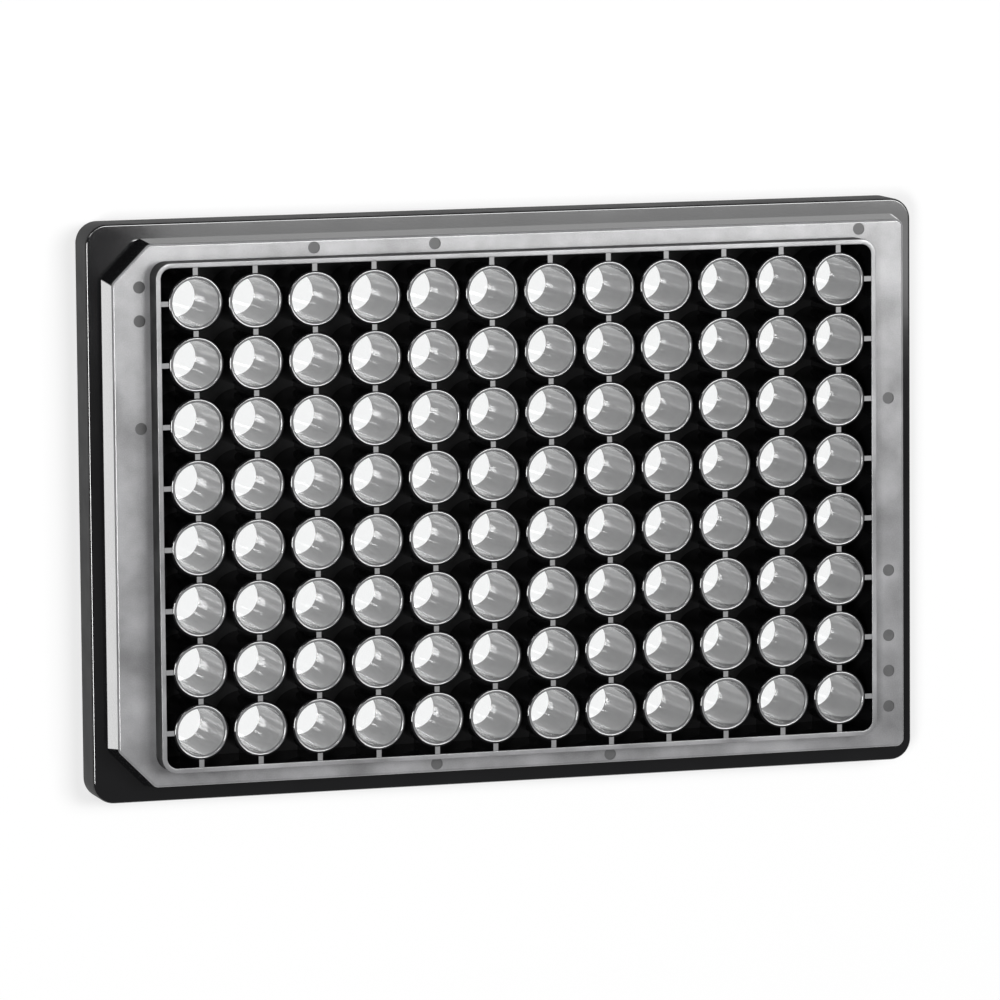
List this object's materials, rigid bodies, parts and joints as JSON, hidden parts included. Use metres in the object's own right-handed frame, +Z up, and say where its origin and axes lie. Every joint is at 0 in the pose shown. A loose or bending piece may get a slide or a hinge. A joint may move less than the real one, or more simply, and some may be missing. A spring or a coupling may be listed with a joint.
{
  "type": "well plate",
  "caption": "Black multi-well plate with tubular wells inside a raised rim wall, a flanged hollow base and a clear bottom sheet.",
  "frame": {"origin": "middle of the base plane, under the centre of the grid of wells", "axes": "+X from column 1 to the last column, +Y from the last row to the first row, +Z up out of the wells"},
  "size_m": [0.1278, 0.0854, 0.0143],
  "materials": {
    "black_plastic": "glossy black moulded polystyrene, satin on the deck",
    "clear_plastic": "thin clear plastic sheet, optically smooth"
  },
  "bodies": {
    "root": {"plate_body": "black_plastic", "clear_base": "clear_plastic"}
  },
  "joints": []
}
